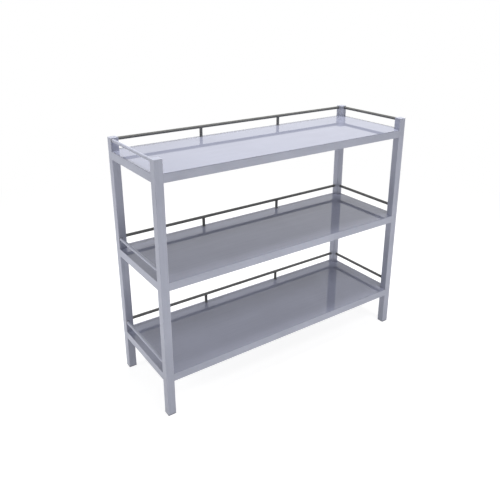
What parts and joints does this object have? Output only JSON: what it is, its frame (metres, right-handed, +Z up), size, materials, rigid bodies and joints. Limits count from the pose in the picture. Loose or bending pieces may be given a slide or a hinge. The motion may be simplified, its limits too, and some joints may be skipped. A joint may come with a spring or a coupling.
{
  "type": "shelving unit",
  "caption": "Free-standing stainless steel shelving unit with square-tube posts, framed flat shelves and low guard rods round the back and ends of each shelf.",
  "frame": {"origin": "middle of the footprint, on the floor", "axes": "+X along the shelves to the right as seen from the open front, +Y to the back, +Z up"},
  "size_m": [1.2, 0.4, 1.01],
  "materials": {
    "satin_tube": "satin",
    "polished_sheet": "polished",
    "bright_rod": "bright drawn",
    "mill_sheet": "mill",
    "foot_nylon": "moulded"
  },
  "bodies": {
    "root": {"front_left_post": "satin_tube", "front_left_post_cap": "satin_tube", "front_left_foot": "foot_nylon", "front_right_post": "satin_tube", "front_right_post_cap": "satin_tube", "front_right_foot": "foot_nylon", "back_left_post": "satin_tube", "back_left_post_cap": "satin_tube", "back_left_foot": "foot_nylon", "back_right_post": "satin_tube", "back_right_post_cap": "satin_tube", "back_right_foot": "foot_nylon", "bottom_shelf_sheet": "polished_sheet", "bottom_front_rail": "satin_tube", "bottom_back_rail": "satin_tube", "bottom_left_rail": "satin_tube", "bottom_left_guard_rod": "satin_tube", "bottom_left_bearer": "mill_sheet", "bottom_left_spindle": "bright_rod", "bottom_right_rail": "satin_tube", "bottom_right_guard_rod": "bright_rod", "bottom_right_bearer": "mill_sheet", "bottom_right_spindle": "bright_rod", "bottom_back_guard_rod": "bright_rod", "middle_shelf_sheet": "polished_sheet", "middle_front_rail": "satin_tube", "middle_back_rail": "satin_tube", "middle_left_rail": "satin_tube", "middle_left_guard_rod": "satin_tube", "middle_left_bearer": "mill_sheet", "middle_left_spindle": "bright_rod", "middle_right_rail": "satin_tube", "middle_right_guard_rod": "bright_rod", "middle_right_bearer": "mill_sheet", "middle_right_spindle": "bright_rod", "middle_back_guard_rod": "bright_rod", "top_shelf_sheet": "polished_sheet", "top_front_rail": "satin_tube", "top_back_rail": "satin_tube", "top_left_rail": "satin_tube", "top_left_guard_rod": "satin_tube", "top_left_bearer": "mill_sheet", "top_left_spindle": "bright_rod", "top_right_rail": "satin_tube", "top_right_guard_rod": "bright_rod", "top_right_bearer": "mill_sheet", "top_right_spindle": "bright_rod", "top_back_guard_rod": "bright_rod"}
  },
  "joints": []
}
